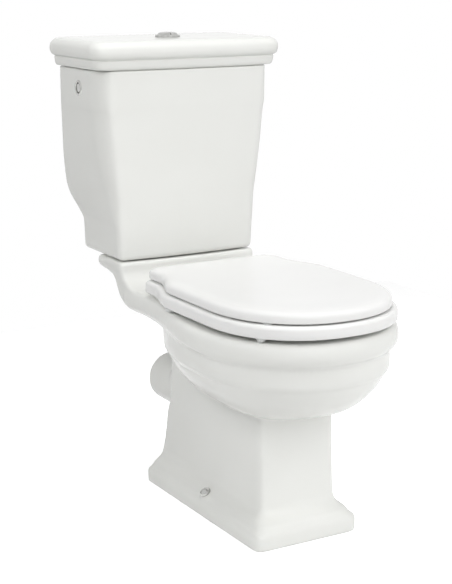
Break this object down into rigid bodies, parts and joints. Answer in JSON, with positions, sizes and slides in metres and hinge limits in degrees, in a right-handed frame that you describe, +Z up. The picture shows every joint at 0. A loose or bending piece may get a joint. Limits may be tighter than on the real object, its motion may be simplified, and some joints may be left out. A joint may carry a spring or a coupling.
{
  "type": "close coupled toilet",
  "caption": "Close coupled toilet: pan with trap, lift-off cistern lid, dual flush buttons and valve, float fill valve, hinged seat ring and lid.",
  "frame": {"origin": "on the floor, under the middle of the whole object's bounding box", "axes": "+Z up; the front faces -Y and the wall is on the +Y side; +X is on the right of someone who faces the wall, the water inlet's side"},
  "size_m": [0.41, 0.764, 0.88],
  "materials": {
    "ceramic": "gloss white glaze",
    "seat_plastic": "gloss white",
    "chrome": "polished chrome plate",
    "steel": "plain stainless steel",
    "brass": "plain",
    "white_plastic": "satin",
    "grey_plastic": "satin",
    "blue_plastic": "satin",
    "rubber": "matt black",
    "buffer_rubber": "matt white"
  },
  "bodies": {
    "pan_and_cistern": {"pan": "ceramic", "cistern_body": "ceramic", "doughnut_seal": "rubber", "flush_valve_body": "white_plastic", "flush_valve_washer": "rubber", "flush_valve_backnut": "grey_plastic", "fill_valve_body": "white_plastic", "fill_valve_washer": "rubber", "fill_valve_nut": "brass", "filler_tube": "grey_plastic", "side_cap": "chrome", "side_cap_nut": "white_plastic", "side_cap_washer": "rubber", "coupling_bolt_left": "brass", "coupling_bolt_right": "brass", "coupling_bolt_seal_left": "rubber", "coupling_bolt_seal_right": "rubber", "deck_washer_left": "rubber", "deck_washer_right": "rubber", "wing_nut_left": "brass", "wing_nut_right": "brass", "hinge_post_left": "chrome", "hinge_post_right": "chrome", "hinge_pin_left": "steel", "hinge_pin_right": "steel", "hinge_washer_left": "rubber", "hinge_washer_right": "rubber", "hinge_nut_left": "white_plastic", "hinge_nut_right": "white_plastic", "floor_bracket_left": "white_plastic", "floor_bracket_right": "white_plastic", "fixing_screw_left": "steel", "fixing_screw_right": "steel", "fixing_screw_cap_left": "chrome", "fixing_screw_cap_right": "chrome"},
    "seat_ring": {"seat_ring": "seat_plastic", "ring_buffer_front_left": "buffer_rubber", "ring_buffer_front_right": "buffer_rubber", "ring_buffer_back_left": "buffer_rubber", "ring_buffer_back_right": "buffer_rubber"},
    "seat_lid": {"seat_lid": "seat_plastic", "lid_buffer_left": "buffer_rubber", "lid_buffer_right": "buffer_rubber"},
    "cistern_lid": {"cistern_lid": "ceramic", "button_bezel": "chrome", "button_bezel_nut": "white_plastic", "half_flush_spring": "steel", "full_flush_spring": "steel"},
    "half_flush_button": {"half_flush_button": "chrome", "half_flush_rod": "white_plastic"},
    "full_flush_button": {"full_flush_button": "chrome", "full_flush_rod": "white_plastic"},
    "full_flush_lever": {"full_flush_lever": "grey_plastic"},
    "half_flush_trip": {"half_flush_trip": "grey_plastic"},
    "overflow_tube": {"overflow_tube": "blue_plastic", "flush_valve_seal": "rubber"},
    "float_arm": {"float_arm": "brass", "float": "blue_plastic"},
    "fill_valve_piston": {"fill_valve_piston": "grey_plastic"}
  },
  "joints": [
    {"name": "seat_ring_hinge", "type": "hinge", "parent": "pan_and_cistern", "child": "seat_ring", "pos_m": [0, 0.084, 0.4225], "axis": [1, 0, 0], "range_deg": [-93, 0]},
    {"name": "seat_lid_hinge", "type": "hinge", "parent": "seat_ring", "child": "seat_lid", "pos_m": [0, 0.084, 0.4225], "axis": [-1, 0, 0], "range_deg": [0, 93]},
    {"name": "cistern_lid_lift", "type": "slide", "parent": "pan_and_cistern", "child": "cistern_lid", "axis": [0, 0, 1], "range_m": [0, 0.15]},
    {"name": "half_flush_press", "type": "slide", "parent": "cistern_lid", "child": "half_flush_button", "axis": [0, 0, -1], "range_m": [0, 0.006], "stiffness_N_per_m": 400, "springref_m": -0.008, "deforming": ["half_flush_spring"]},
    {"name": "full_flush_press", "type": "slide", "parent": "cistern_lid", "child": "full_flush_button", "axis": [0, 0, -1], "range_m": [0, 0.006], "stiffness_N_per_m": 400, "springref_m": -0.008, "deforming": ["full_flush_spring"]},
    {"name": "full_flush_lever_turn", "type": "hinge", "parent": "pan_and_cistern", "child": "full_flush_lever", "pos_m": [0.019, 0.248, 0.722], "axis": [-1, 0, 0], "range_deg": [0, 25]},
    {"name": "half_flush_trip_slide", "type": "slide", "parent": "pan_and_cistern", "child": "half_flush_trip", "axis": [0, 0, -1], "range_m": [0, 0.006]},
    {"name": "overflow_tube_lift", "type": "slide", "parent": "pan_and_cistern", "child": "overflow_tube", "axis": [0, 0, 1], "range_m": [0, 0.009]},
    {"name": "float_arm_swing", "type": "hinge", "parent": "pan_and_cistern", "child": "float_arm", "pos_m": [0.104, 0.291, 0.766], "axis": [0, 1, 0], "range_deg": [0, 25]},
    {"name": "fill_valve_piston_slide", "type": "slide", "parent": "pan_and_cistern", "child": "fill_valve_piston", "axis": [1, 0, 0], "range_m": [0, 0.0045]}
  ],
  "couplings": [
    {"joint": "full_flush_lever_turn", "follows": "full_flush_press", "rad_per_m": 71.43},
    {"joint": "overflow_tube_lift", "follows": "full_flush_press", "ratio": 1.43},
    {"joint": "half_flush_trip_slide", "follows": "half_flush_press", "ratio": 1},
    {"joint": "fill_valve_piston_slide", "follows": "float_arm_swing", "m_per_rad": 0.01}
  ]
}
